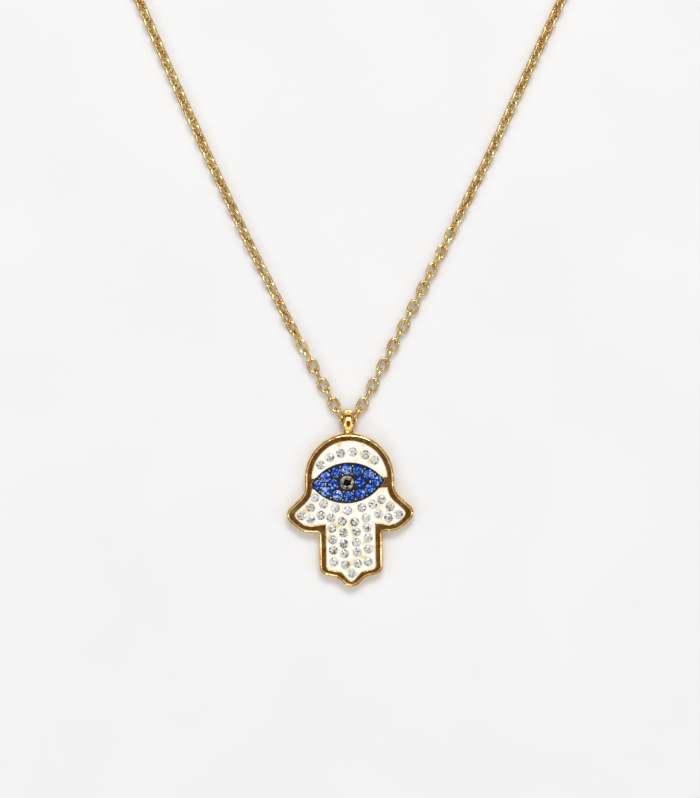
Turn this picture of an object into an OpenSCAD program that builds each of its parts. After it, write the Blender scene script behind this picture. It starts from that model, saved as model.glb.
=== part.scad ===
// Hamsa pendant necklace, lying flat on its back on a table.
// Millimetres, Z up. The origin is the centre of the hand's flat back. The fingertip points to -Y,
// the two strands of chain run up towards +Y, and the stones face +Z.

/* [Hand] */
// Width of the hand over its two thumbs
hand_w = 20.1; // [19:0.1:23]
// Height of the hand from the dome to the fingertip
hand_h = 24.15; // [23:0.05:28]
// Thickness of the cast plate
plate_t = 2; // [1.9:0.1:2.6]
// Width of the polished rim round the resin panels
rim_w = 1.17; // [1:0.01:1.3]
// Radius of the plate's rounded front edge
edge_r = 0.4; // [0.2:0.05:0.5]
// Bevel on the plate's back edge
back_bevel = 0.15; // [0.1:0.05:0.3]
// Metal left under the pocket
floor_t = 0.75; // [0.5:0.05:0.9]
// Turn of the hand on the table, counter-clockwise
hand_turn = 1.2; // [-3:0.1:3]

/* [Resin panels] */
// How far the resin stops below the rim's face
resin_drop = 0.15; // [0.05:0.05:0.3]
// Gap between a panel and its pocket's wall
fit_gap = 0.04; // [0.02:0.01:0.08]
// Gold bridge between the two panels, beyond each corner of the eye
bridge_w = 1.75; // [1.4:0.05:2.2]

/* [Eye] */
// Gap that a centred eye leaves between each corner and the rim's wall
eye_end_gap = 0.175; // [0.1:0.005:0.3]
// Height of the eye's tray
eye_h = 6.36; // [6:0.05:6.8]
// Place of the eye's middle down the hand, as a share of the hand's height
eye_down = 0.3217; // [0.31:0.0005:0.33]
// Sideways place of the eye's middle
eye_across = -0.3; // [-0.3:0.05:0.3]
// Turn of the eye in its seat
eye_turn = 3; // [-3:0.5:3]
// Width of the tray's raised border
border_w = 0.15; // [0.1:0.01:0.18]
// How far the tray's deck lies below its border
deck_drop = 0.2; // [0.1:0.05:0.3]
// Diameter of a prong grain
prong_d = 0.3; // [0.2:0.02:0.34]
// Height of a prong grain over the deck
prong_h = 0.34; // [0.25:0.01:0.4]

/* [Stones] */
// Diameter of a clear stone
clear_d = 1.35; // [1.2:0.01:1.4]
// Diameter of a blue stone
blue_d = 1.42; // [1.3:0.01:1.45]
// Diameter of the pupil's stone
pupil_d = 2.1; // [1.9:0.05:2.2]
// Gap under a stone's girdle and round its point
stone_gap = 0.1; // [0.08:0.01:0.12]

/* [Bail and jump ring] */
// Height of the bail ring
bail_h = 3; // [2.9:0.05:3.3]
// Depth of the bail ring, front to back
bail_depth = 2.4; // [2.3:0.05:2.6]
// Width of the bail's rounded band
bail_w = 1.28; // [1.1:0.02:1.34]
// Thickness of the bail's band
bail_t = 0.5; // [0.4:0.02:0.52]
// Diameter of the solder collar under the bail
collar_d = 1.1; // [0.8:0.05:1.3]
// Space between the bail's foot and the dome
bail_lift = 0.15; // [0.1:0.05:0.25]
// Jump ring, to the middle of its wire
ring_d = 2.56; // [2.5:0.01:2.65]
// How far the jump ring's middle lies above the bail's middle
ring_up = 0.63; // [0.6:0.01:0.7]
// Height of the jump ring's wire over the table
ring_z = 1.12; // [1.05:0.01:1.2]

/* [Chain] */
// Length of a link
link_l = 2.7; // [2.6:0.01:2.8]
// Width of a link
link_w = 1.85; // [1.8:0.01:1.95]
// Thickness of the chain's and the jump ring's wire
wire_d = 0.42; // [0.36:0.01:0.43]
// Play where two links hook
link_play = 0.1; // [0.08:0.01:0.14]
// Length of the whole necklace chain
loop_l = 450; // [420:1:500]
// Thickness of the tube that stands for the chain round the nape
nape_d = 1.5; // [1.4:0.05:1.8]

/* [Clasp] */
// Length of the clasp's barrel
clasp_l = 6; // [5:0.5:9]
// Diameter of the clasp's barrel
clasp_d = 2.2; // [2:0.1:3]
// Diameter of an end eye, to the middle of its wire
clasp_eye_d = 1.8; // [1.6:0.1:2.2]
// Thickness of an end eye's wire
clasp_wire_d = 0.5; // [0.4:0.05:0.6]

/* [Hidden] */

$fn = 48;
gold = "goldenrod";
// The most that a straight facet of an outline may miss its arc by
facet_sag = 0.01;
// Extra length that makes a cut run clear through
past = 1;

// Corners of the hand's right half, from the dome to the fingertip.
// across: share of half the width. down: share of the height. round: corner radius as a share of
// half the width. inner: radius of the resin's corner as a share of the dome's half width inside the
// rim. raise: how far the resin's corner is raised beyond a plain inset, as a share of the rim.
ACROSS = 0;
DOWN = 1;
ROUND = 2;
INNER = 3;
RAISE = 4;
HAND = [
    [0.700, 0.000, 0.7000, 0.994, 0.00],   // shoulder of the dome
    [0.706, 0.386, 0.2600, 0.514, 0.00],   // neck over the thumb
    [1.075, 0.527, 0.1500, 0.137, 0.00],   // thumb's tip
    [0.746, 0.646, 0.3000, 0.418, -0.15],  // thumb's underside
    [0.502, 0.646, 0.0400, 0.034, 0.25],   // inner corner between thumb and palm
    [0.500, 0.913, 0.1300, 0.085, -0.20],  // foot of the palm
    [0.224, 0.940, 0.1200, 0.139, -0.10],  // notch beside the fingertip
    [0.080, 1.000, 0.1700, 0.100, -0.20],  // fingertip
];
SHOULDER = 0;
NECK = 1;

// Blue stones, as shares of half the eye's length and height, round the rim and then the two
// beside the pupil
BLUE = [
    [-0.79, 0.00], [-0.59, 0.37], [-0.29, 0.56], [0.00, 0.68], [0.31, 0.58], [0.59, 0.34],
    [0.80, 0.00], [0.60, -0.38], [0.32, -0.57], [0.01, -0.68], [-0.30, -0.57], [-0.60, -0.37],
    [-0.39, -0.03], [0.34, 0.00],
];
RIM_STONES = 12;
PUPIL = [-0.02, 0.01];
// How far a prong grain stands beside the line between two stones, as a share of a blue stone
prong_out = 0.42;

// Clear stones of the crescent and of the palm: across and down, shares as in HAND
CROWN = [
    [-0.446, 0.200], [-0.300, 0.154], [-0.131, 0.128], [0.061, 0.121], [0.258, 0.141],
    [0.400, 0.177],
];
PALM = [
    [-0.546, 0.415], [-0.412, 0.455], [-0.228, 0.483], [-0.039, 0.503], [0.184, 0.484],
    [0.357, 0.464], [0.494, 0.434],
    [-0.616, 0.478], [-0.765, 0.529], [-0.622, 0.552],
    [0.627, 0.483], [0.757, 0.533], [0.598, 0.554],
    [-0.458, 0.529], [-0.302, 0.548], [-0.126, 0.571], [0.066, 0.577], [0.246, 0.552],
    [0.445, 0.528],
    [-0.289, 0.615], [-0.282, 0.690], [-0.276, 0.757], [-0.268, 0.832],
    [-0.112, 0.645], [-0.106, 0.718], [-0.102, 0.783], [-0.093, 0.853],
    [0.090, 0.643], [0.087, 0.710], [0.094, 0.774], [0.101, 0.848],
    [0.258, 0.616], [0.272, 0.682], [0.272, 0.755], [0.265, 0.836],
    [0.008, 0.910],
];

// Cut of a stone, as shares of its diameter
crown_share = 0.15;
girdle_share = 0.04;
point_share = 0.4;
table_share = 0.56;
star_share = 0.76;
// Main facets round a stone
cut_fold = 8;
// Half angle of a stone's point
point_angle = atan(0.5 / point_share);

// Route of the strands, chosen by hand: up from the bail's middle, then out to the left and right.
// The last row is the photo's top edge.
UP = 0;
LEFT = 1;
RIGHT = 2;
ROUTE = [
    [3.6, -2.65, 2.65], [6.8, -4.4, 4.3], [16.2, -9.5, 9.2], [28.8, -15.9, 15.6],
    [41.4, -21.8, 21.9], [54, -27.5, 27.7], [66.6, -33, 33.6],
];
// Lean of the chain from +Y beyond that edge
far_lean = 24.2;
// Share of the hooks' slack that is pulled out, by height: the strands bunch up away from the bail
PULL = [[1.5, 0.8], [4, 1], [10, 1], [25, 0.55], [46, 0.06]];
// Share of a half turn of roll that each strand has gained, by height
ROLL = [[0, [[8, 0], [16, 1]]], [1, [[20, 0], [38, 1]]]];
full_roll = 45;
// The first link of each strand: where it hooks the jump ring, its lean, its roll and its height
hook_angle = 21.5;
hook_lean = 34.5;
hook_roll = 100;
hook_z = 0.965;
hook_reach = 0.35;
// Least space between one link and the next but one
bunch_gap = 0.12;
// Space between a strand's last link and the nape's tube, and between the tube and the clasp
tube_gap = 0.2;
tube_sides = 8;
// Tube rings this many diameters apart
tube_ring_step = 2.5;

// How far the gold beside the eye stops below the rim's face, stands over the pocket's floor and
// is sunk into the rim
bridge_drop = 0.02;
bridge_foot = 0.2;
bridge_sink = 0.2;

// Derived places
half_w = hand_w / 2;
top_y = hand_h / 2;
dome_half = HAND[SHOULDER][ACROSS] * half_w - rim_w;
pocket_z = floor_t;
resin_z = plate_t - resin_drop;
deck_z = plate_t - deck_drop;
eye_y = top_y - eye_down * hand_h;
eye_w = 2 * (HAND[NECK][ACROSS] * half_w - rim_w - eye_end_gap);
eye_r = (pow(eye_w / 2, 2) + pow(eye_h / 2, 2)) / eye_h;
bail_y = top_y + bail_lift + bail_h / 2;
bail_z = bail_depth / 2;
bail_bend = (bail_depth - bail_t) / 2;
bail_straight = bail_h - bail_depth;
bail_at = turned([0, bail_y], hand_turn);
bend_r = (link_w - wire_d) / 2;
link_straight = link_l - link_w;
taut_pitch = link_l - 2 * wire_d - link_play;
bunched_pitch = (link_l + bunch_gap) / 2;
nape_axis = (ROUTE[len(ROUTE) - 1][LEFT] + ROUTE[len(ROUTE) - 1][RIGHT]) / 2;
edge_up = ROUTE[len(ROUTE) - 1][UP];
edge_out = ROUTE[len(ROUTE) - 1][RIGHT] - nape_axis;
shown_l = route_length(LEFT);
nape_turn = 90 + far_lean;
// The straight run past the edge that, with the round of the nape, makes up the loop's length
nape_bend = nape_turn * PI / 180;
far_run = (loop_l / 2 - shown_l - nape_bend * edge_out / cos(far_lean))
    / (1 + nape_bend * tan(far_lean));
far_up = edge_up + far_run * cos(far_lean);
far_out = edge_out + far_run * sin(far_lean);
nape_r = far_out / cos(far_lean);
nape_up = far_up + nape_r * sin(far_lean);
clasp_reach = clasp_l / 2 + clasp_eye_d + clasp_wire_d;
clasp_z = clasp_d / 2;

function blue_name(i) = str("blue_stone_", i < 10 ? "0" : "", i);
function unit(v) = v / norm(v);
function left_of(v) = [-v[1], v[0]];
function turned(p, angle) = [p[0] * cos(angle) - p[1] * sin(angle), p[0] * sin(angle) + p[1] * cos(angle)];
function sum(list, i = 0) = i < len(list) ? list[i] + sum(list, i + 1) : 0;

// One corner moved to where its two sides meet after both have moved inwards by d
function inset_corner(before, here, after, d) =
    let (a = left_of(unit(here - before)), b = left_of(unit(after - here)))
    here + (a + b) * d / (1 + a * b);

// Whether a corner of a counter-clockwise outline points outwards
function is_outer(before, here, after) = cross(here - before, after - here) > 0;

// The straight steps that an arc of this radius and turn needs
function arc_steps(radius, turn) = max(1, ceil(turn / (2 * acos(1 - facet_sag / radius))));

// The arc that rounds one corner
function corner_arc(before, here, after, radius, steps) =
    let (back = unit(before - here), on = unit(after - here), half = acos(back * on) / 2,
         centre = here + unit(back + on) * radius / sin(half),
         from = here + back * radius / tan(half) - centre,
         turn = (180 - 2 * half) * (cross(back, on) > 0 ? -1 : 1))
    [for (k = [0 : steps]) centre + turned(from, turn * k / steps)];

// The hand's corners counter-clockwise: down the left side and up the right
last_row = len(HAND) - 1;
HAND_ROWS = concat([for (i = [0 : last_row]) i], [for (i = [last_row : -1 : 0]) i]);
HAND_CORNERS = [
    for (k = [0 : len(HAND_ROWS) - 1])
        let (row = HAND[HAND_ROWS[k]], side = k <= last_row ? -1 : 1)
        [side * row[ACROSS] * half_w, top_y - row[DOWN] * hand_h]
];
function around(list, k) = list[(k + len(list)) % len(list)];

// Steps of each corner's arc, the same for every inset so that the rings match
HAND_STEPS = [
    for (k = [0 : len(HAND_ROWS) - 1])
        let (before = around(HAND_CORNERS, k - 1), here = HAND_CORNERS[k], after = around(HAND_CORNERS, k + 1),
             half = acos(unit(before - here) * unit(after - here)) / 2)
        arc_steps(HAND[HAND_ROWS[k]][ROUND] * half_w, 180 - 2 * half)
];

// The hand's outline, moved inwards by d
function hand_outline(d) =
    let (moved = [for (k = [0 : len(HAND_ROWS) - 1])
            inset_corner(around(HAND_CORNERS, k - 1), HAND_CORNERS[k], around(HAND_CORNERS, k + 1), d)])
    [for (k = [0 : len(HAND_ROWS) - 1])
        let (before = around(moved, k - 1), here = moved[k], after = around(moved, k + 1),
             base = HAND[HAND_ROWS[k]][ROUND] * half_w,
             radius = is_outer(before, here, after) ? base - d : base + d)
        for (p = corner_arc(before, here, after, radius, HAND_STEPS[k])) p];

// The resin's outline inside the rim, made smaller by gap
function resin_outline(gap) =
    let (moved = [for (k = [0 : len(HAND_ROWS) - 1])
            inset_corner(around(HAND_CORNERS, k - 1), HAND_CORNERS[k], around(HAND_CORNERS, k + 1), rim_w)
                + [0, HAND[HAND_ROWS[k]][RAISE] * rim_w]],
         inner = [for (k = [0 : len(moved) - 1])
            inset_corner(around(moved, k - 1), moved[k], around(moved, k + 1), gap)])
    [for (k = [0 : len(inner) - 1])
        let (before = around(inner, k - 1), here = inner[k], after = around(inner, k + 1),
             radius = HAND[HAND_ROWS[k]][INNER] * dome_half)
        for (p = corner_arc(before, here, after, radius, HAND_STEPS[k])) p];

// A closed solid through rings that all have the same number of points
module loft(rings) {
    n = len(rings[0]);
    last = len(rings) - 1;
    polyhedron(
        points = [for (ring = rings) for (p = ring) p],
        faces = concat(
            [[for (i = [0 : n - 1]) i]],
            [for (r = [0 : last - 1], i = [0 : n - 1])
                [r * n + i, (r + 1) * n + i, (r + 1) * n + (i + 1) % n, r * n + (i + 1) % n]],
            [[for (i = [n - 1 : -1 : 0]) last * n + i]]));
}

// The plate as a dish: bevelled back, rounded front edge, flat rim and one pocket inside it
module dish() {
    sections = concat(
        [[back_bevel, 0], [0, back_bevel]],
        [for (a = [0 : 30 : 90]) [edge_r * (1 - cos(a)), plate_t - edge_r + edge_r * sin(a)]]);
    loft(concat(
        [for (s = sections) [for (p = hand_outline(s[0])) [p[0], p[1], s[1]]]],
        [for (z = [plate_t, pocket_z]) [for (p = resin_outline(0)) [p[0], p[1], z]]]));
}

// The almond of the eye, grown by grow, between two heights
module eye_prism(grow, from_z, to_z) {
    translate([eye_across, eye_y, from_z])
        rotate([0, 0, eye_turn])
            intersection_for (side = [-1, 1])
                translate([0, side * (eye_r - eye_h / 2), 0])
                    cylinder(r = eye_r + grow, h = to_z - from_z);
}

// One resin field, above the bridge (side 1) or below it (side -1)
module field(side, gap, from_z, to_z) {
    intersection() {
        translate([0, 0, from_z])
            linear_extrude(height = to_z - from_z)
                polygon(resin_outline(gap));
        translate([-hand_w, side > 0 ? eye_y + bridge_w / 2 + gap : -hand_h, from_z - past])
            cube([2 * hand_w, hand_h + eye_y - bridge_w / 2 - gap, to_z - from_z + 2 * past]);
    }
}

// The gold beside each corner of the eye: ledges sunk into the rim's wall
module bridges() {
    difference() {
        intersection() {
            translate([0, 0, pocket_z + bridge_foot])
                linear_extrude(height = plate_t - bridge_drop - pocket_z - bridge_foot)
                    polygon(resin_outline(-bridge_sink));
            translate([-hand_w, eye_y - bridge_w / 2, 0])
                cube([2 * hand_w, bridge_w, plate_t]);
        }
        eye_prism(fit_gap, 0, plate_t);
    }
}

// The bail's band, from its inner face to its puffed outer face
BAND = [for (a = [0 : 15 : 345]) [bail_bend + bail_t / 2 * sin(a), bail_w / 2 * cos(a)]];

// The bail ring, edge-on to the front, with its hole along X
module bail() {
    translate([0, bail_y, bail_z])
        rotate([0, 90, 0]) {
            for (end = [-1, 1])
                translate([0, end * bail_straight / 2, 0])
                    rotate([0, 0, end > 0 ? 0 : 180])
                        rotate_extrude(angle = 180)
                            polygon(BAND);
            for (side = [-1, 1])
                translate([0, bail_straight / 2, 0])
                    rotate([90, 0, 0])
                        linear_extrude(height = bail_straight)
                            polygon([for (p = BAND) [side * p[0], p[1]]]);
        }
}

// Solder between the bail's foot and the dome
module collar() {
    translate([0, top_y - rim_w / 2, collar_d / 2 + back_bevel])
        rotate([-90, 0, 0])
            cylinder(d = collar_d, h = rim_w / 2 + bail_lift + bail_t / 2);
}

module frame() {
    color(gold)
        rotate([0, 0, hand_turn]) {
            dish();
            bridges();
            bail();
            collar();
        }
}

// Seat under a stone: a cone that clears the stone's point by stone_gap
module stone_seat(d) {
    clear = stone_gap / cos(point_angle);
    top_r = (d * point_share - stone_gap) * tan(point_angle) + clear;
    translate([0, 0, -top_r / tan(point_angle)])
        cylinder(r1 = 0, r2 = top_r + past * tan(point_angle), h = top_r / tan(point_angle) + past);
}

// Where a stone of HAND's kind of row sits
function on_hand(row) = [row[ACROSS] * half_w, top_y - row[DOWN] * hand_h];
function on_eye(row) =
    [eye_across, eye_y] + turned([row[0] * eye_w / 2, row[1] * eye_h / 2], eye_turn);

module upper_panel() {
    color("ivory")
        rotate([0, 0, hand_turn])
            difference() {
                field(1, fit_gap, pocket_z, resin_z);
                eye_prism(2 * fit_gap, pocket_z - past, resin_z + past);
                for (row = CROWN)
                    translate([on_hand(row)[0], on_hand(row)[1], resin_z])
                        stone_seat(clear_d);
            }
}

module lower_panel() {
    color("ivory")
        rotate([0, 0, hand_turn])
            difference() {
                field(-1, fit_gap, pocket_z, resin_z);
                eye_prism(2 * fit_gap, pocket_z - past, resin_z + past);
                for (row = PALM)
                    translate([on_hand(row)[0], on_hand(row)[1], resin_z])
                        stone_seat(clear_d);
            }
}

// Places between neighbouring stones of the eye's rim, inwards and outwards, that clear every stone
eye_stones = concat([for (row = BLUE) on_eye(row)], [on_eye(PUPIL)]);
function stone_room(p) =
    min([for (i = [0 : len(eye_stones) - 1])
        norm(p - eye_stones[i]) - (i < len(BLUE) ? blue_d : pupil_d) / 2]);
// Room between a place and the eye's border
function border_room(p) =
    let (q = turned(p - [eye_across, eye_y], -eye_turn))
    eye_r - border_w - norm([q[0], abs(q[1]) + eye_r - eye_h / 2]);
PRONGS = [
    for (k = [0 : RIM_STONES - 1], side = [-1, 1])
        let (a = eye_stones[k], b = eye_stones[(k + 1) % RIM_STONES],
             p = (a + b) / 2 + side * left_of(unit(b - a)) * blue_d * prong_out)
        if (stone_room(p) > prong_d / 2 + stone_gap && border_room(p) > prong_d / 2) p
];

module eye_setting() {
    color("dimgray")
        rotate([0, 0, hand_turn])
            difference() {
                union() {
                    difference() {
                        intersection() {
                            eye_prism(0, pocket_z, plate_t);
                            linear_extrude(height = plate_t + past)
                                polygon(resin_outline(fit_gap));
                        }
                        eye_prism(-border_w, deck_z, plate_t + past);
                    }
                    for (p = PRONGS)
                        translate([p[0], p[1], deck_z - past / 2]) {
                            cylinder(d = prong_d, h = past / 2 + prong_h - prong_d / 2);
                            translate([0, 0, past / 2 + prong_h - prong_d / 2])
                                sphere(d = prong_d);
                        }
                }
                for (i = [0 : len(BLUE) - 1])
                    translate([eye_stones[i][0], eye_stones[i][1], deck_z])
                        stone_seat(blue_d);
                translate([on_eye(PUPIL)[0], on_eye(PUPIL)[1], deck_z])
                    stone_seat(pupil_d);
            }
}

// A round cut stone standing on z = 0 by the underside of its girdle: table, stars, kites, upper
// facets, girdle and a point below
function cut_points(d) =
    let (r = d / 2, rise = crown_share * d, top = girdle_share * d, half = 180 / cut_fold,
         fall = rise * (star_share * cos(half) - table_share) / (1 - table_share))
    concat(
        [for (k = [0 : cut_fold - 1]) ring_point(table_share * r, 2 * k * half, top + rise)],
        [for (k = [0 : cut_fold - 1]) ring_point(star_share * r, (2 * k + 1) * half, top + rise - fall)],
        [for (j = [0 : 2 * cut_fold - 1]) ring_point(r, j * half, top)],
        [for (j = [0 : 2 * cut_fold - 1]) ring_point(r, j * half, 0)],
        [[0, 0, -point_share * d]]);
function ring_point(r, angle, z) = [r * cos(angle), r * sin(angle), z];
function star_at(k) = cut_fold + (k + cut_fold) % cut_fold;
function upper_at(j) = 2 * cut_fold + j % (2 * cut_fold);
function lower_at(j) = 4 * cut_fold + j % (2 * cut_fold);
CUT_FACES = concat(
    [[for (k = [cut_fold - 1 : -1 : 0]) k]],
    [for (k = [0 : cut_fold - 1]) [(k + 1) % cut_fold, star_at(k), k]],
    [for (k = [0 : cut_fold - 1]) [star_at(k), upper_at(2 * k), star_at(k - 1), k]],
    [for (k = [0 : cut_fold - 1]) [upper_at(2 * k + 1), upper_at(2 * k), star_at(k)]],
    [for (k = [0 : cut_fold - 1]) [upper_at(2 * k + 2), upper_at(2 * k + 1), star_at(k)]],
    [for (j = [0 : 2 * cut_fold - 1]) [upper_at(j + 1), lower_at(j + 1), lower_at(j), upper_at(j)]],
    [for (j = [0 : 2 * cut_fold - 1]) [lower_at(j + 1), 6 * cut_fold, lower_at(j)]]);

// A cut stone of diameter d over the place p of a deck at height z
module stone(d, p, z) {
    translate([p[0], p[1], z + stone_gap])
        polyhedron(points = cut_points(d), faces = CUT_FACES);
}

module blue_stone(i) {
    color("royalblue")
        rotate([0, 0, hand_turn])
            stone(blue_d, eye_stones[i - 1], deck_z);
}

module pupil_stone() {
    color("darkslategray")
        rotate([0, 0, hand_turn])
            stone(pupil_d, on_eye(PUPIL), deck_z);
}

module crown_stones() {
    color("white")
        rotate([0, 0, hand_turn])
            for (row = CROWN)
                stone(clear_d, on_hand(row), resin_z);
}

module palm_stones() {
    color("white")
        rotate([0, 0, hand_turn])
            for (row = PALM)
                stone(clear_d, on_hand(row), resin_z);
}

module wire_ring(d, wire) {
    rotate_extrude()
        translate([d / 2, 0])
            circle(d = wire);
}

module jump_ring() {
    color(gold)
        translate([bail_at[0], bail_at[1] + ring_up, ring_z])
            wire_ring(ring_d, wire_d);
}

// One oval link along X, in the XY plane
module link() {
    for (end = [-1, 1])
        translate([end * link_straight / 2, 0, 0])
            rotate([0, 0, -90 * end])
                rotate_extrude(angle = 180)
                    translate([bend_r, 0])
                        circle(d = wire_d);
    for (side = [-1, 1])
        translate([-link_straight / 2, side * bend_r, 0])
            rotate([0, 90, 0])
                cylinder(d = wire_d, h = link_straight);
}

// Middle of a strand's first link: a little beyond its hook on the jump ring
function first_link(side) =
    let (sign = side == LEFT ? -1 : 1)
    [sign * (ring_d / 2 * cos(hook_angle) + hook_reach * sin(hook_lean)),
     ring_up + ring_d / 2 * sin(hook_angle) + hook_reach * cos(hook_lean)];

// A strand's sideways place by its height over the bail's middle
function strand_table(side) =
    concat(
        [[first_link(side)[1], first_link(side)[0]]],
        [for (row = ROUTE) [row[UP], row[side]]],
        [[far_up, nape_axis + (side == LEFT ? -far_out : far_out)]]);
function strand_out(side, up) = lookup(up, strand_table(side));
function strand_lean(side, up) =
    atan((strand_out(side, up + bunched_pitch) - strand_out(side, up)) / bunched_pitch);
function pitch(up) = bunched_pitch + (taut_pitch - bunched_pitch) * lookup(up, PULL);
function route_length(side) =
    sum([for (k = [0 : len(ROUTE) - 1])
        let (from = k == 0 ? first_link(side) : [ROUTE[k - 1][side], ROUTE[k - 1][UP]])
        norm([ROUTE[k][side], ROUTE[k][UP]] - from)]);

// Heights of a strand's links, one pitch after another up to the nape's tube
function strand_ups(side) =
    [for (up = first_link(side)[1];
          up < far_up - (link_l / 2 + tube_gap) * cos(far_lean);
          up = up + pitch(up) * cos(strand_lean(side, up))) up];
function strand_roll(side, up) = full_roll * lookup(up, ROLL[side - LEFT][1]);

module strand(side) {
    ups = strand_ups(side);
    table = strand_table(side);
    sign = side == LEFT ? -1 : 1;
    translate([bail_at[0], bail_at[1], 0])
        for (i = [0 : len(ups) - 1]) {
            roll = strand_roll(side, ups[i]);
            step = bunched_pitch / 2;
            way = i == 0
                ? 90 - sign * hook_lean
                : 90 - atan((lookup(ups[i] + step, table) - lookup(ups[i] - step, table)) / (2 * step));
            rise = i == 0 ? hook_z : bend_r * cos(roll) + wire_d / 2;
            translate([lookup(ups[i], table), ups[i], rise])
                rotate([0, 0, way])
                    rotate([i == 0 ? -sign * hook_roll : sign * roll + 90 * ((i + 1) % 2), 0, 0])
                        link();
        }
}

module chain_left() {
    color(gold)
        strand(LEFT);
}

module chain_right() {
    color(gold)
        strand(RIGHT);
}

// The chain round the nape: one tube a side, from the strand's last link to the clasp
module nape(side) {
    ups = strand_ups(side);
    sign = side == LEFT ? -1 : 1;
    last_up = ups[len(ups) - 1];
    // The straight end of the strand, past its last link, and then the round of the nape
    start_up = last_up + (link_l / 2 + tube_gap) * cos(far_lean);
    start = [sign * abs(strand_out(side, start_up) - nape_axis), start_up - nape_up];
    end_angle = 90 - asin((clasp_reach + tube_gap) / nape_r);
    steps = ceil((nape_turn - 90 + end_angle) * PI / 180 * nape_r / (tube_ring_step * nape_d));
    path = concat(
        [start],
        [for (k = [start_up < far_up - nape_d ? 0 : 1 : steps])
            let (a = -far_lean + (end_angle + far_lean) * k / steps)
            [sign * nape_r * cos(a), nape_r * sin(a)]]);
    rings = [
        for (k = [0 : len(path) - 1])
            let (on = unit(path[min(k + 1, len(path) - 1)] - path[max(k - 1, 0)]), out = left_of(on) * sign)
            [for (j = [0 : tube_sides - 1])
                let (a = 360 * (j + 0.5) / tube_sides)
                [path[k][0] + out[0] * nape_d / 2 * cos(a), path[k][1] + out[1] * nape_d / 2 * cos(a),
                 nape_d / 2 * cos(180 / tube_sides) + nape_d / 2 * sin(a) * sign]]
    ];
    translate([bail_at[0] + nape_axis, bail_at[1] + nape_up, 0])
        loft(rings);
}

module nape_left() {
    color(gold)
        nape(LEFT);
}

module nape_right() {
    color(gold)
        nape(RIGHT);
}

// A plain barrel with an eye at each end
module clasp() {
    color(gold)
        translate([bail_at[0] + nape_axis, bail_at[1] + nape_up + nape_r, clasp_z]) {
            rotate([0, 90, 0])
                cylinder(d = clasp_d, h = clasp_l, center = true);
            for (end = [-1, 1])
                translate([end * (clasp_l + clasp_eye_d) / 2, 0, 0])
                    wire_ring(clasp_eye_d, clasp_wire_d);
        }
}

frame();
upper_panel();
lower_panel();
eye_setting();
for (i = [1 : len(BLUE)])
    blue_stone(i);
pupil_stone();
crown_stones();
palm_stones();
jump_ring();
chain_left();
chain_right();
nape_left();
nape_right();
clasp();
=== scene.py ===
# %% [markdown]
# # A hamsa pendant necklace, seen from above
# The CAD model already has the exact solids: the cast hand, its two resin panels, the eye, fifty-seven
# stones and a fine cable chain. This notebook dresses it. Wherever a piece needs more than a better
# finish, such as rounded edges, cut facets or links in place of a tube, it is modelled again here in
# the same place, and the CAD node is hidden.

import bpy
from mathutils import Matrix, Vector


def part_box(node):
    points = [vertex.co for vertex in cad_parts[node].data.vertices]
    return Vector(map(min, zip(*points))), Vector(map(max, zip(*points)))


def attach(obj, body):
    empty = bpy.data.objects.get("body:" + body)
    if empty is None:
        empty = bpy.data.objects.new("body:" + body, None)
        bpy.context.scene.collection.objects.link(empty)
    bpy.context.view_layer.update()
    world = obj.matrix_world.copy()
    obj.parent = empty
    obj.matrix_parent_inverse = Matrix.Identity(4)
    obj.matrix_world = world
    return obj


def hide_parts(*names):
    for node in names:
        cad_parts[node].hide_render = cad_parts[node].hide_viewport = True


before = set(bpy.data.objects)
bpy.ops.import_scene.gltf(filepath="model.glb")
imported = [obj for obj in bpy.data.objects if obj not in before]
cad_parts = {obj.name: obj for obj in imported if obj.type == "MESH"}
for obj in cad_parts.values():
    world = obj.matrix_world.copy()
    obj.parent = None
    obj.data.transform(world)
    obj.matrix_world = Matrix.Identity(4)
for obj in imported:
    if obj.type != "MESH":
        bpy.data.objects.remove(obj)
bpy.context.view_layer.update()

# %% [markdown]
# Lengths are written in millimetres, as a jeweller would write them, and each finished mesh is turned
# to metres once, at the very end. That also keeps Blender's Boolean away from very small numbers.

# %% What every step needs
import math
import random

import bmesh
import bpy
import numpy as np
from mathutils import Matrix, Vector

MM = 0.001
scene = bpy.context.scene


def as_mesh(bm, name):
    """Writes a bmesh into a new mesh, and frees the bmesh."""
    mesh = bpy.data.meshes.new(name)
    bm.to_mesh(mesh)
    bm.free()
    return mesh


def put_in_scene(name, data):
    """A new object with this mesh, light or camera."""
    thing = bpy.data.objects.new(name, data)
    scene.collection.objects.link(thing)
    return thing


def add_piece(bm, name, replaced, material, smooth_under=35):
    """A finished bmesh in millimetres becomes an object that rides on the root body.
    Edges stay sharp where two faces meet at more than smooth_under degrees."""
    bmesh.ops.scale(bm, vec=(MM, MM, MM), verts=bm.verts)
    mesh = as_mesh(bm, name)
    mesh.shade_smooth()
    mesh.set_sharp_from_angle(angle=math.radians(smooth_under))
    mesh.materials.append(material)
    piece = put_in_scene(name, mesh)
    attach(piece, "root")
    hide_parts(*replaced)
    print(name, len(mesh.polygons), "faces")
    return piece


# %% [markdown]
# ## Camera
# The photo looks straight down on the necklace, and the chain runs out of its top edge. So the camera
# aims a little above the hand. A long lens keeps the perspective as flat as it is in the photo. The
# photo is 798 pixels high, at 6.35 pixels to the millimetre, and that sets how far away the camera is.

# %% The camera
PHOTO_HIGH = 798
PIXELS_PER_MM = 6.35
FRAME_HIGH = PHOTO_HIGH / PIXELS_PER_MM
LENS = 100
SENSOR = 36
AIM_X, AIM_Y = -0.02, 17.5
STONES_Z = 1.5

lens = bpy.data.cameras.new("camera")
lens.lens = LENS
lens.sensor_width = SENSOR
lens.clip_start = 0.01
camera = put_in_scene("camera", lens)
far = FRAME_HIGH * LENS / SENSOR
camera.location = Vector((AIM_X, AIM_Y, STONES_Z + far)) * MM
scene.camera = camera
print("camera", round(far, 1), "mm over the stones")

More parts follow.
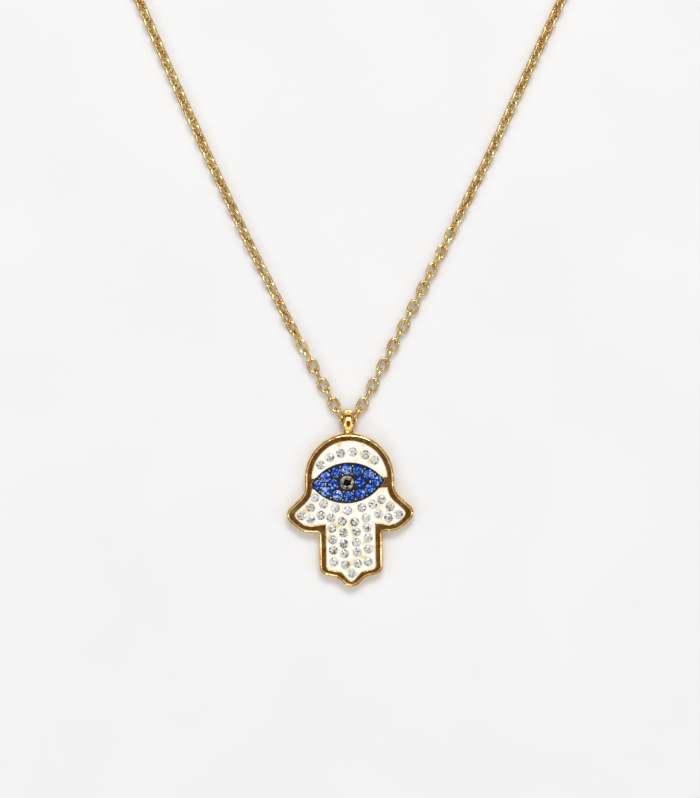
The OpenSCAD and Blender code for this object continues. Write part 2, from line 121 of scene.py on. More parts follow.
# %% [markdown]
# ## Colours and nodes
# A colour picked from a screen is an sRGB hex value, and Blender's shaders want linear light. One
# function turns the first into the second. Another adds a node with its settings and links, so that
# each material reads as a short list.

# %% Helpers for materials
def linear(hex_colour):
    """#RRGGBB in sRGB to linear red, green and blue, and an alpha of 1."""
    channels = [int(hex_colour[i:i + 2], 16) / 255 for i in (1, 3, 5)]
    return [c / 12.92 if c <= 0.04045 else ((c + 0.055) / 1.055) ** 2.4 for c in channels] + [1.0]


def add_node(tree, kind, links=None, values=None, stops=(), **settings):
    """A node of this kind. links: input to an output socket. values: input to a value.
    stops: pairs of a position and a hex colour, for a node with a colour ramp."""
    made = tree.nodes.new(kind)
    for key, value in settings.items():
        setattr(made, key, value)
    for key, value in (values or {}).items():
        made.inputs[key].default_value = value
    for key, socket in (links or {}).items():
        tree.links.new(socket, made.inputs[key])
    for _ in stops[2:]:
        made.color_ramp.elements.new(0.5)
    for k, (position, colour) in enumerate(stops):
        made.color_ramp.elements[k].position = position
        made.color_ramp.elements[k].color = linear(colour)
    return made


def new_material(name):
    """An empty material, its node tree and its Object coordinates."""
    material = bpy.data.materials.new(name)
    material.use_nodes = True
    tree = material.node_tree
    tree.nodes.clear()
    where = add_node(tree, "ShaderNodeTexCoord").outputs["Object"]
    return material, tree, where


# %% [markdown]
# ## Gold plate
# The hand, bail and chain are cast and drawn brass under a thin layer of polished gold. Polished metal
# shows only what it mirrors, tinted by the gold. So the shader is a plain metal, with a little uneven
# roughness from tumbling, and very shallow waves, about 1 mm long on the plate, that bend the mirror
# image as hand polishing does. The tint wanders over 1.6 mm, as the plate's thickness does. The marks
# of the tumbling are really far finer than 0.5 mm, and are drawn that coarse to show.
#
# At a glancing angle any metal mirrors almost white. On a wire less than half a millimetre thick that
# would draw a pale outline, where the real wire has warm brown edges, as they mirror the shaded table
# close beside it. Here that shade is painted: Specular Tint, the colour that a metal mirrors at that
# angle, is a brown on the wire and the bail.

# %% Gold-plated brass, for the cast hand, the bail and the drawn chain
TINT_MM, WEAR_MM = 1.6, 0.5


def gold_plate(name, deep, light, wave_mm, wave_depth, rough_low, rough_high, edge_painted_shade="#FFFFFF"):
    """deep and light: the tint where the plate is thick and thin. The last argument is the Specular Tint at
    the glancing edges, white or a painted brown shade.
    """
    material, tree, where = new_material(name)
    tint = add_node(tree, "ShaderNodeTexNoise", {"Vector": where},
                    {"Scale": 1 / (TINT_MM * MM), "Detail": 3.0})
    colour = add_node(tree, "ShaderNodeValToRGB", {"Fac": tint.outputs["Fac"]},
                      stops=[(0.38, deep), (0.62, light)])
    wear = add_node(tree, "ShaderNodeTexNoise", {"Vector": where},
                    {"Scale": 1 / (WEAR_MM * MM), "Detail": 4.0})
    rough = add_node(tree, "ShaderNodeMapRange", {"Value": wear.outputs["Fac"]},
                     {"From Min": 0.3, "From Max": 0.7, "To Min": rough_low, "To Max": rough_high})
    wave = add_node(tree, "ShaderNodeTexNoise", {"Vector": where},
                    {"Scale": 1 / (wave_mm * MM), "Detail": 2.5})
    bump = add_node(tree, "ShaderNodeBump", {"Height": wave.outputs["Fac"]},
                    {"Strength": 1.0, "Distance": wave_depth * MM})
    # Specular Tint: white on the cast plate, and on the bail and the wire a painted brown shade at the
    # glancing edges.
    metal = add_node(tree, "ShaderNodeBsdfPrincipled",
                     {"Base Color": colour.outputs["Color"], "Roughness": rough.outputs["Result"],
                      "Normal": bump.outputs["Normal"]},
                     {"Metallic": 1.0, "Specular Tint": linear(edge_painted_shade)})
    add_node(tree, "ShaderNodeOutputMaterial", {"Surface": metal.outputs[0]})
    return material


# Cast and hand-polished: soft waves break up the mirror image, and the tone wanders between a redder
# and a paler gold.
cast_gold = gold_plate("gold_plated_cast_brass", "#DCAB64", "#F4DC96", 1.1, 0.10, 0.08, 0.20)
# Buffed on a soft wheel: the bail is a clear mirror, with one sharp highlight, deep yellow sides and painted
# brown shade at its glancing edges.
buffed_gold = gold_plate("gold_plated_buffed_brass", "#F8CE74", "#FEDC8C", 1.6, 0.01, 0.06, 0.12,
                         edge_painted_shade="#A8722C")
# Drawn through a die: the wire is smooth and a little duller, so each link has soft, pale highlights, with
# painted brown shade at its glancing edges.
drawn_gold = gold_plate("gold_plated_brass_wire", "#ECC172", "#FFEAAC", 0.8, 0.01, 0.10, 0.18,
                        edge_painted_shade="#6E4410")
print("gold on", cast_gold.name, buffed_gold.name, drawn_gold.name)

# %% [markdown]
# ## Cream resin
# The field round the stones is a cream epoxy resin, poured into the pocket and wiped level. To the eye
# it is a warm white with a wet gloss, and a little light goes into it and softens its edges. The real
# resin shows pale gold patches, where the gold metal floor shines through a thinner layer. Here that
# light is painted: the colour wanders from cream to a painted pale gold in patches a little over 1 mm
# wide, and the level dips by 0.03 mm.

# %% Cream epoxy resin
PAINTED_GOLD_LIGHT_MM, DIP_MM, DIP_DEEP = 1.3, 0.7, 0.03


def cream_resin():
    material, tree, where = new_material("cream_epoxy_resin")
    painted_gold_light = add_node(tree, "ShaderNodeTexNoise", {"Vector": where},
                       {"Scale": 1 / (PAINTED_GOLD_LIGHT_MM * MM), "Detail": 3.0})
    level = add_node(tree, "ShaderNodeTexNoise", {"Vector": where},
                     {"Scale": 1 / (DIP_MM * MM), "Detail": 2.0})
    bump = add_node(tree, "ShaderNodeBump", {"Height": level.outputs["Fac"]},
                    {"Strength": 1.0, "Distance": DIP_DEEP * MM})
    # The pale gold stop is painted light from the gold metal; the two cream stops are the resin's own colour.
    colour = add_node(tree, "ShaderNodeValToRGB", {"Fac": painted_gold_light.outputs["Fac"]},
                      stops=[(0.40, "#FFFDF3"), (0.55, "#FFFAE4"), (0.68, "#EED9A0")])
    resin = add_node(tree, "ShaderNodeBsdfPrincipled",
                     {"Base Color": colour.outputs["Color"], "Normal": bump.outputs["Normal"]},
                     {"Roughness": 0.22, "IOR": 1.55, "Subsurface Weight": 0.15,
                      "Subsurface Scale": 0.3 * MM})
    add_node(tree, "ShaderNodeOutputMaterial", {"Surface": resin.outputs[0]})
    return material


resin = cream_resin()
print("resin", resin.name)

# %% [markdown]
# ## Dark tray and silver grains
# The eye sits in a small metal tray. Its dull black is painted shade, for the shadow in the gaps
# between the blue stones, and it makes the blue look deeper. The grains between the stones are raised
# from the tray with a tool and polished, so their silver tops show as bright points. Both finishes are
# one recipe: a fine tooth of 0.15 mm that shifts the colour and the level a little, on a dull or on a
# bright metal.

# %% Dark metal as painted shade, and bright metal
TOOTH_MM, TOOTH_DEEP = 0.15, 0.006


def tray_metal(name, dark, light, rough, metallic):
    material, tree, where = new_material(name)
    tooth = add_node(tree, "ShaderNodeTexNoise", {"Vector": where},
                     {"Scale": 1 / (TOOTH_MM * MM), "Detail": 3.0})
    bump = add_node(tree, "ShaderNodeBump", {"Height": tooth.outputs["Fac"]},
                    {"Strength": 1.0, "Distance": TOOTH_DEEP * MM})
    colour = add_node(tree, "ShaderNodeValToRGB", {"Fac": tooth.outputs["Fac"]},
                      stops=[(0.35, dark), (0.7, light)])
    metal = add_node(tree, "ShaderNodeBsdfPrincipled",
                     {"Base Color": colour.outputs["Color"], "Normal": bump.outputs["Normal"]},
                     {"Roughness": rough, "Metallic": metallic})
    add_node(tree, "ShaderNodeOutputMaterial", {"Surface": metal.outputs[0]})
    return material


# The tray's near-black is painted shade for the gaps between the stones.
dark_tray_painted_shade = tray_metal("tray_metal_painted_shade", "#1B1B1D", "#3A3A3C", 0.35, 0.7)
bright_grain = tray_metal("polished_silver_grain", "#B9BCC4", "#E6E8EE", 0.18, 1.0)
print("eye metals", dark_tray_painted_shade.name, bright_grain.name)

# %% [markdown]
# ## Glass stones with painted reflections
# The stones are cut glass with a mirror foil on their undersides. Each facet throws back another part
# of the room, so to the eye one is white, its neighbour grey and a third a warm brown. A mirror behind
# glass needs very many samples to show that on so small a stone. So these reflections are painted:
# each facet carries a number of its own, stored on its face, and the material turns it into a painted
# reflection shade, under a clear glossy surface. A noise of a quarter of a millimetre keeps the painted
# shade from being flat within a facet.

# %% Glass with painted facet reflections
REFLECTION_NOISE_MM, REFLECTION_NOISE_SWING = 0.25, 0.16


def glass_with_painted_reflections(name, shades):
    material, tree, where = new_material(name)
    # The facet attribute is each facet's painted reflection shade, set in set_stones.
    facet = add_node(tree, "ShaderNodeAttribute", attribute_name="facet").outputs["Fac"]
    reflection_noise = add_node(tree, "ShaderNodeTexNoise", {"Vector": where},
                     {"Scale": 1 / (REFLECTION_NOISE_MM * MM), "Detail": 2.0})
    swing = add_node(tree, "ShaderNodeMapRange", {"Value": reflection_noise.outputs["Fac"]},
                     {"From Min": 0.3, "From Max": 0.7, "To Min": -REFLECTION_NOISE_SWING, "To Max": REFLECTION_NOISE_SWING})
    both = add_node(tree, "ShaderNodeMath", {0: facet, 1: swing.outputs["Result"]}, operation="ADD",
                    use_clamp=True)
    colour = add_node(tree, "ShaderNodeValToRGB", {"Fac": both.outputs[0]}, stops=shades)
    glass = add_node(tree, "ShaderNodeBsdfPrincipled", {"Base Color": colour.outputs["Color"]},
                     {"Roughness": 0.08, "IOR": 1.47, "Metallic": 0.3})
    add_node(tree, "ShaderNodeOutputMaterial", {"Surface": glass.outputs[0]})
    return material


# Clear: painted reflections, mostly white, with grey facets and a few warm ones for the gold they mirror.
clear_glass = glass_with_painted_reflections("clear_glass_painted_reflections",
                           [(0.0, "#5C554A"), (0.14, "#968157"), (0.25, "#A9A59C"), (0.42, "#D5D2CB"),
                            (0.6, "#F8F7F2"), (1.0, "#FFFFFF")])
# Sapphire blue: the stone's own blue, painted lighter and darker from ink to royal blue as reflections, with
# a few painted pale glints.
blue_glass = glass_with_painted_reflections("sapphire_glass_painted_reflections",
                          [(0.0, "#01165A"), (0.3, "#0434A4"), (0.62, "#1454CE"), (0.85, "#5C9CF4"),
                           (1.0, "#CFE4FF")])
# Black: the facets seen through the table keep the stone's own black, and those round it get a painted smoky
# grey reflection.
pupil_glass = glass_with_painted_reflections("black_glass_painted_reflections",
                           [(0.0, "#050505"), (0.12, "#0B0B0B"), (0.2, "#5B564B"), (0.6, "#A39C8A"),
                            (1.0, "#E4DFD0")])
print("glass", clear_glass.name, blue_glass.name, pupil_glass.name)

# %% [markdown]
# ## The outline of the hand
# The hand's outline could be drawn point by point, but eight corners down one side, mirrored to the
# other, are enough once each is rounded with a vertex bevel. A bevel cuts back along both edges, and
# an arc of radius r needs a cut of r divided by the tangent of half the corner's angle. The table is
# the same one that the CAD model follows.

# %% The hand's corners and a rounded outline
HAND_WIDE = 20.1
HAND_HIGH = 24.15
PLATE_THICK = 2.0
RIM_WIDE = 1.17
HAND_TURN = math.radians(1.2)
TOP = HAND_HIGH / 2
DOME_SHARE = 0.7
DOME_HALF = DOME_SHARE * HAND_WIDE / 2 - RIM_WIDE
# Across and down as shares, the radius outside as a share of half the width and inside as a share of
# the dome's half width, and the raise of the inner corner as a share of the rim
HAND = [
    (0.700, 0.000, 0.7000, 0.994, 0.00), (0.706, 0.386, 0.2600, 0.514, 0.00),
    (1.075, 0.527, 0.1500, 0.137, 0.00), (0.746, 0.646, 0.3000, 0.418, -0.15),
    (0.502, 0.646, 0.0400, 0.034, 0.25), (0.500, 0.913, 0.1300, 0.085, -0.20),
    (0.224, 0.940, 0.1200, 0.139, -0.10), (0.080, 1.000, 0.1700, 0.100, -0.20),
]


def hand_corners(side):
    """The corners counter-clockwise: down the left side, then up the right."""
    half = [Vector((side * a * HAND_WIDE / 2, TOP - d * HAND_HIGH)) for a, d, *_ in HAND]
    return half if side < 0 else half[::-1]


def left_of(way):
    """The direction to the left of this one, one long."""
    return Vector((-way.y, way.x)).normalized()


def moved_in(corners, distance):
    """Each corner moved to where its two sides meet once both are moved in."""
    moved = []
    for k, here in enumerate(corners):
        before, after = corners[k - 1], corners[(k + 1) % len(corners)]
        a, b = left_of(here - before), left_of(after - here)
        moved.append(here + (a + b) * distance / (1 + a.dot(b)))
    return moved


def rounded_face(corners, radii, z):
    """A bmesh with one face: the corners' polygon, each corner rounded to its radius, with more
    segments on a wider arc."""
    bm = bmesh.new()
    verts = [bm.verts.new((p.x, p.y, z)) for p in corners]
    bm.faces.new(verts)
    for k, (vert, radius) in enumerate(zip(verts, radii)):
        back = corners[k - 1] - corners[k]
        on = corners[(k + 1) % len(corners)] - corners[k]
        cut = radius / math.tan(back.angle(on) / 2)
        bmesh.ops.bevel(bm, geom=[vert], offset=cut, offset_type="OFFSET", affect="VERTICES",
                        segments=3 + int(radius * 5), profile=0.5, material=-1)
    return bm


outer = hand_corners(-1) + hand_corners(1)
rows = HAND + HAND[::-1]
outer_radii = [row[2] * HAND_WIDE / 2 for row in rows]
inner = [p + Vector((0, row[4] * RIM_WIDE)) for p, row in zip(moved_in(outer, RIM_WIDE), rows)]
inner_radii = [row[3] * DOME_HALF for row in rows]
print("outline of", len(outer), "corners,", HAND_WIDE, "by", HAND_HIGH, "mm")

# %% [markdown]
# A flat outline becomes a solid by extruding its face. The eye's almond is two arcs that meet in two
# points, and spinning one vertex about the far centre of each arc draws them.

# %% Prisms from an outline and from the eye's almond
EYE_WIDE = 11.5
EYE_HIGH = 6.36
EYE_ASIDE = -0.3
EYE_DOWN = 7.77
EYE_AT = Vector((EYE_ASIDE, TOP - EYE_DOWN))
EYE_TURN = math.radians(3)
EYE_ARC = ((EYE_WIDE / 2) ** 2 + (EYE_HIGH / 2) ** 2) / EYE_HIGH
print("the eye's arcs have a radius of", round(EYE_ARC, 2), "mm")


def raise_to(bm, height):
    """Extrudes the one face of the bmesh upwards into a closed prism, and returns its top face."""
    base = bm.faces[:][0]
    grown = bmesh.ops.extrude_face_region(bm, geom=[base], use_keep_orig=True)["geom"]
    top = [g for g in grown if isinstance(g, bmesh.types.BMFace)][0]
    bmesh.ops.translate(bm, vec=(0, 0, height), verts=top.verts[:])
    bmesh.ops.recalc_face_normals(bm, faces=bm.faces[:])
    return top


def almond(grow, z, steps=40):
    """A bmesh with one face: the eye's outline, grown by grow."""
    bm = bmesh.new()
    radius = EYE_ARC + grow
    rise = EYE_ARC - EYE_HIGH / 2
    half_turn = math.acos(rise / radius)
    for side in (-1, 1):
        tip = bm.verts.new((-side * radius * math.sin(half_turn), 0, 0))
        bmesh.ops.spin(bm, geom=[tip], cent=(0, -side * rise, 0), axis=(0, 0, -1),
                       angle=2 * half_turn, steps=steps)
    bmesh.ops.remove_doubles(bm, verts=bm.verts[:], dist=0.001)
    bmesh.ops.contextual_create(bm, geom=bm.edges[:])
    bmesh.ops.rotate(bm, cent=(0, 0, 0), matrix=Matrix.Rotation(EYE_TURN, 3, "Z"), verts=bm.verts[:])
    bmesh.ops.translate(bm, vec=(EYE_AT.x, EYE_AT.y, z), verts=bm.verts[:])
    return bm


# %% [markdown]
# Pockets and seats are carved with the exact Boolean modifier. It works on objects, so both bmeshes
# are put into the scene for a moment, and the result is read back as a new bmesh.

# %% Carving one bmesh out of another
def carve(bm, cutter, operation="DIFFERENCE"):
    """What is left of bm once the cutter is taken away, or what both share with INTERSECT."""
    made = []
    for shape in (bm, cutter):
        made.append(put_in_scene("carving", as_mesh(shape, "carving")))
    carving = made[0].modifiers.new("carve", "BOOLEAN")
    carving.operation = operation
    carving.object = made[1]
    carving.solver = "EXACT"
    result = bmesh.new()
    result.from_object(made[0], bpy.context.evaluated_depsgraph_get())
    for thing in made:
        mesh = thing.data
        bpy.data.objects.remove(thing)
        bpy.data.meshes.remove(mesh)
    return result


def soften(bm, width, segments=2, over=40):
    """Rounds every edge that is sharper than this angle, so that it catches a line of light."""
    bmesh.ops.dissolve_degenerate(bm, edges=bm.edges[:], dist=0.01)
    sharp = [e for e in bm.edges if e.is_manifold and e.calc_face_angle(0) > math.radians(over)]
    bmesh.ops.bevel(bm, geom=sharp, offset=width, offset_type="OFFSET", affect="EDGES",
                    segments=segments, profile=0.5, material=-1)


def turn_hand(bm):
    """The hand lies turned a little on the table."""
    bmesh.ops.rotate(bm, cent=(0, 0, 0), matrix=Matrix.Rotation(HAND_TURN, 3, "Z"), verts=bm.verts[:])


# %% [markdown]
# ## The cast hand
# The real plate is cast with its pockets, then filed and polished until its front edge is round and
# its rim flat. Here it is a prism whose front edge gets a wide bevel of several segments, whose back
# edge gets a narrow one, and whose pockets are carved out. A last fine bevel softens the pockets'
# edges.
#
# Smooth shading alone would bend the flat rim's normals towards its round edges, and a mirror shows
# that as wedges of light. The Weighted Normal modifier lets the large flat faces decide, so the rim
# mirrors evenly.

# %% The plate and its pockets
EDGE_ROUND = 0.5
BACK_BEVEL = 0.15
POCKET_ROUND = 0.08
POCKET_FLOOR = 0.75
BRIDGE_WIDE = 1.75
EYE_SEAT_GAP = 0.04


def round_edges_at(bm, z, width, segments):
    """Bevels every edge that lies at the height z."""
    rim = [e for e in bm.edges if all(abs(v.co.z - z) < 0.001 for v in e.verts)]
    bmesh.ops.bevel(bm, geom=rim, offset=width, offset_type="OFFSET", affect="EDGES",
                    segments=segments, profile=0.5, material=-1)


def resin_field(side, gap, low, high):
    """The prism above the bridge (side 1) or below it (side -1), inside the rim."""
    bm = rounded_face(moved_in(inner, gap), inner_radii, low)
    raise_to(bm, high - low)
    bridge = (0, EYE_AT.y + side * (BRIDGE_WIDE / 2 + gap), 0)
    bmesh.ops.bisect_plane(bm, geom=bm.verts[:] + bm.edges[:] + bm.faces[:], plane_co=bridge,
                           plane_no=(0, side, 0), clear_inner=True)
    bmesh.ops.contextual_create(bm, geom=[e for e in bm.edges if e.is_boundary])
    bmesh.ops.recalc_face_normals(bm, faces=bm.faces[:])
    return bm


def eye_prism(grow, low, high):
    """The almond, grown by grow, as a closed prism."""
    bm = almond(grow, low)
    raise_to(bm, high - low)
    return bm


def inside_rim(bm, gap):
    """What of a shape lies inside the rim's wall, less a gap."""
    wall = rounded_face(moved_in(inner, gap), inner_radii, 0)
    raise_to(wall, PLATE_THICK + 2)
    return carve(bm, wall, "INTERSECT")


plate = rounded_face(outer, outer_radii, 0)
raise_to(plate, PLATE_THICK)
round_edges_at(plate, PLATE_THICK, EDGE_ROUND, 6)
round_edges_at(plate, 0, BACK_BEVEL, 2)
for side in (1, -1):
    plate = carve(plate, resin_field(side, 0, POCKET_FLOOR, PLATE_THICK + 1))
plate = carve(plate, inside_rim(eye_prism(EYE_SEAT_GAP, POCKET_FLOOR, PLATE_THICK + 1), 0))
soften(plate, POCKET_ROUND, 3)
turn_hand(plate)
cast_hand = add_piece(plate, "cast_hand", ["frame"], cast_gold)
flat_rim = cast_hand.modifiers.new("flat_rim", "WEIGHTED_NORMAL")
flat_rim.keep_sharp = True

# %% [markdown]
# ## The bail
# The bail is a band bent into an upright ring, soldered to the dome and buffed until it looks like a
# drop of gold. Its section is an oval, spun half round each end and drawn straight between, as a
# bender shapes the real band. A scale that changes from point to point then files it to its drop
# shape: the front swells, falls away towards the head, and at the foot is drawn out to the dome. A
# short collar of solder fills the joint.

# %% The bail and its solder collar
BAIL_HIGH, BAIL_DEEP, BAIL_WIDE, BAIL_THICK = 3.0, 2.4, 1.28, 0.5
BAIL_GAP = 0.15
BAIL_Y = TOP + BAIL_GAP + BAIL_HIGH / 2
BAIL_BEND = (BAIL_DEEP - BAIL_THICK) / 2
BAIL_SWELL = 0.2
FRONT_FALL = 0.22
FOOT_START = 0.2
HEAD_STRETCH, FOOT_STRETCH = 1.1, 1.3
COLLAR_D, COLLAR_LONG, COLLAR_Z = 1.24, 0.95, 0.7
COLLAR_OVERLAP, COLLAR_ROUND = 0.25, 0.16


def closed_band(bm, bend, straight, axis, bend_steps):
    """Sweeps a section, which stands at the end of one straight, round two half turns and back."""
    loop = bm.verts[:] + bm.edges[:]
    out = axis.cross(bend).normalized()
    for end in (1, -1):
        spun = bmesh.ops.spin(bm, geom=loop, cent=out * end * straight / 2, axis=axis,
                              angle=math.pi, steps=bend_steps)["geom_last"]
        edges = [g for g in spun if isinstance(g, bmesh.types.BMEdge)]
        drawn = bmesh.ops.extrude_edge_only(bm, edges=edges)["geom"]
        loop = [g for g in drawn if not isinstance(g, bmesh.types.BMFace)]
        bmesh.ops.translate(bm, vec=-out * end * straight,
                            verts=[g for g in loop if isinstance(g, bmesh.types.BMVert)])
    bmesh.ops.remove_doubles(bm, verts=bm.verts[:], dist=0.0005)
    bmesh.ops.recalc_face_normals(bm, faces=bm.faces[:])
    return bm


def ring_section(segments, across, along, place, normal):
    """An oval of edges, across by along, standing at place with its axis along normal."""
    bm = bmesh.new()
    bmesh.ops.create_circle(bm, segments=segments, radius=0.5)
    bmesh.ops.scale(bm, vec=(across, along, 1), verts=bm.verts[:])
    upright = normal.to_track_quat("Z", "Y").to_matrix()
    bmesh.ops.rotate(bm, cent=(0, 0, 0), matrix=upright, verts=bm.verts[:])
    bmesh.ops.translate(bm, vec=place, verts=bm.verts[:])
    return bm


def file_to_drop(bm):
    """Swells the front and the foot, rounds the front's fall at the foot, and lengthens both ends."""
    for vert in bm.verts:
        front = max(0, vert.co.z) / (BAIL_DEEP / 2)
        foot = max(0, -vert.co.y) / (BAIL_HIGH / 2)
        vert.co.x *= 1 + BAIL_SWELL * max(front ** 2, min(1, 2 * foot))
        if front > 0:
            low = min(0.97, max(0, foot - FOOT_START) / (1 - FOOT_START))
            vert.co.z *= (1 - low ** 3) ** (1 / 3) / (1 - low ** 2) ** 0.5
            vert.co.z *= 1 - FRONT_FALL * (abs(vert.co.y) / (BAIL_HIGH / 2)) ** 1.2
        vert.co.y *= FOOT_STRETCH if foot > 0 else HEAD_STRETCH


bend = Vector((0, 0, BAIL_BEND))
straight = Vector((0, (BAIL_HIGH - BAIL_DEEP) / 2, 0))
section = ring_section(28, BAIL_WIDE, BAIL_THICK, bend + straight, Vector((0, 1, 0)))
bail = closed_band(section, bend, BAIL_HIGH - BAIL_DEEP, Vector((-1, 0, 0)), 16)
file_to_drop(bail)
bmesh.ops.translate(bail, vec=(0, BAIL_Y, BAIL_DEEP / 2), verts=bail.verts[:])
turn_hand(bail)
add_piece(bail, "bail", ["frame"], buffed_gold)

collar = bmesh.new()
bmesh.ops.create_cone(collar, cap_ends=True, segments=32, radius1=COLLAR_D / 2, radius2=COLLAR_D / 2,
                      depth=COLLAR_LONG)
soften(collar, COLLAR_ROUND, 3)
along_y = Matrix.Rotation(math.radians(90), 3, "X")
bmesh.ops.rotate(collar, cent=(0, 0, 0), matrix=along_y, verts=collar.verts[:])
collar_y = TOP + BAIL_GAP + COLLAR_OVERLAP - COLLAR_LONG / 2
bmesh.ops.translate(collar, vec=(0, collar_y, COLLAR_Z), verts=collar.verts[:])
turn_hand(collar)
add_piece(collar, "solder_collar", ["frame"], buffed_gold)

# %% [markdown]
# ## Where the stones sit
# The CAD nodes say where each stone is. A node of many stones is one mesh of loose parts, so a flood
# fill from face to face finds them, and the middle of each part's box is that stone's axis. The parts
# are sorted by that middle, so that the same stone gets the same shades on every run.

# %% Reading loose parts from a CAD node
def loose_parts(node):
    """The parts of a CAD node, each as a list of its faces' (centre, area, corners), in millimetres."""
    bm = bmesh.new()
    bm.from_mesh(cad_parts[node].data)
    bmesh.ops.scale(bm, vec=(1 / MM, 1 / MM, 1 / MM), verts=bm.verts[:])
    bmesh.ops.remove_doubles(bm, verts=bm.verts[:], dist=0.0005)
    parts, waiting = [], dict.fromkeys(bm.faces)
    while waiting:
        front, part = [waiting.popitem()[0]], []
        while front:
            face = front.pop()
            part.append((face.calc_center_median(), face.calc_area(), [v.co.copy() for v in face.verts]))
            for near in (f for v in face.verts for f in v.link_faces):
                if near in waiting:
                    del waiting[near]
                    front.append(near)
        parts.append(part)
    bm.free()
    return sorted(parts, key=lambda part: [round(place, 2) for place in middle(part)])


def middle(part):
    """The middle of a part's box."""
    points = [p for _, _, face in part for p in face]
    return Vector([(min(p[i] for p in points) + max(p[i] for p in points)) / 2 for i in range(3)])


blue_nodes = [f"blue_stone_{i:02d}" for i in range(1, 15)]
blue_places = [middle(loose_parts(node)[0]) for node in blue_nodes]
pupil_place = middle(loose_parts("pupil_stone")[0])
crown_places = [middle(part) for part in loose_parts("crown_stones")]
palm_places = [middle(part) for part in loose_parts("palm_stones")]
print(len(blue_places), len(crown_places), len(palm_places), "stones found")

# %% [markdown]
# ## Cutting a stone
# A lapidary turns a rough blank against a flat lap, and each touch leaves one facet. This does the
# same: the blank is a short cylinder, and each facet is one plane that saws off what lies outside and
# closes the cut. The table comes first. Then each eighth of a turn gets its main facet, its star
# facet, two upper facets, and below the girdle one main and two lower ones. The table is then split
# into wedges, because through it one sees the facets below, and each wedge gets a painted reflection
# shade of its own for them.

# %% One brilliant cut, in units of its radius
GIRDLE, CROWN, DEPTH, TABLE, STAR = 0.08, 0.30, 0.34, 0.52, 0.74


def around(radius, degrees, z):
    """The point at this radius, angle and height."""
    angle = math.radians(degrees)
    return Vector((radius * math.cos(angle), radius * math.sin(angle), z))


def cut_facet(bm, a, b, c):
    """Saws the blank along the plane through three points, and closes the cut."""
    normal = (b - a).cross(c - a).normalized()
    if normal.dot(a) < 0:
        normal.negate()
    bmesh.ops.bisect_plane(bm, geom=bm.verts[:] + bm.edges[:] + bm.faces[:], dist=1e-4, plane_co=a,
                           plane_no=normal, clear_outer=True)
    open_edges = [e for e in bm.edges if e.is_boundary]
    if open_edges:
        bmesh.ops.contextual_create(bm, geom=open_edges)


def cut_stone():
    """One stone's mesh, its girdle at height 0 and its radius 1."""
    bm = bmesh.new()
    bmesh.ops.create_cone(bm, cap_ends=True, segments=32, radius1=1, radius2=1, depth=2.2)
    top = GIRDLE + CROWN
    cut_facet(bm, Vector((0, 0, top)), Vector((1, 0, top)), Vector((0, 1, top)))
    slope = CROWN / (1 - TABLE)
    half = math.cos(math.radians(22.5))
    star_z = GIRDLE + slope * (1 - STAR * half)
    for k in range(8):
        main, side = 45 * k, 45 * k + 22.5
        along = around(1, main + 90, 0)
        cut_facet(bm, around(1, main, GIRDLE), around(TABLE, main, top), around(1, main, GIRDLE) + along)
        cut_facet(bm, around(1, main, 0), Vector((0, 0, -DEPTH)), around(1, main, 0) + along)
        across = around(1, side + 90, 0)
        edge = around(TABLE * half, side, top)
        cut_facet(bm, edge, around(STAR, side, star_z), edge + across)
        for step in (-22.5, 22.5):
            cut_facet(bm, around(STAR, side, star_z), around(1, side + step, GIRDLE), around(1, side, GIRDLE))
            low = around(0.3, side, -DEPTH * (1 - 0.3 * half))
            cut_facet(bm, low, around(1, side + step, 0), around(1, side, 0))
    table = max(bm.faces, key=lambda face: face.calc_center_median().z)
    bmesh.ops.poke(bm, faces=[table])
    bmesh.ops.recalc_face_normals(bm, faces=bm.faces[:])
    return as_mesh(bm, "cut_stone")


stone_mesh = cut_stone()
print("a stone has", len(stone_mesh.polygons), "facets")

# %% [markdown]
# No two stones are set quite alike. Each is turned by a different angle and leans a degree or two, so
# that they don't all flash at once. The golden angle gives turns that never repeat. Each facet gets
# its random painted reflection shade here, and those along the girdle a lighter one, painted light for
# the resin that shines into them.

# %% Setting the stones
GOLDEN_ANGLE = math.radians(137.508)
TABLE_REFLECTION_SHADES = (0.1, 1.0)
STONE_REFLECTION_SHIFT = 0.12
GIRDLE_PAINTED_LIGHT = 0.25


def set_stones(name, places, diameter, girdle_z, nodes, glass, lean=2.5, table=TABLE_REFLECTION_SHADES):
    """Stones of one size, with a painted reflection shade on every facet. table: the lowest and highest
    painted shade of the facets seen through the table.
    """
    bm = bmesh.new()
    shade = bm.faces.layers.float.new("facet")
    chance = random.Random(11)
    for k, place in enumerate(places):
        start, first = len(bm.verts), len(bm.faces)
        bm.from_mesh(stone_mesh)
        bm.verts.ensure_lookup_table()
        bm.faces.ensure_lookup_table()
        # Each facet's value is its painted reflection shade: random, shifted for the whole stone, and raised
        # by painted light along the girdle.
        own = chance.uniform(-STONE_REFLECTION_SHIFT, STONE_REFLECTION_SHIFT)
        for face in bm.faces[first:]:
            low, high = table if face.normal.z > 0.99 else (0.0, 1.0)
            outside = face.calc_center_median().xy.length > 0.8
            face[shade] = own + chance.uniform(low, high) + (GIRDLE_PAINTED_LIGHT if outside else 0)
        turn = Matrix.Rotation(GOLDEN_ANGLE * k, 4, "Z")
        tip_axis = around(1, 77 * k, 0)
        tip = Matrix.Rotation(math.radians(lean * math.sin(1.7 * k + 0.5)), 4, tip_axis)
        move = Matrix.Translation((place.x, place.y, girdle_z))
        size = Matrix.Scale(diameter / 2, 4)
        bmesh.ops.transform(bm, matrix=move @ tip @ turn @ size, verts=bm.verts[start:])
    return add_piece(bm, name, nodes, glass, smooth_under=1)


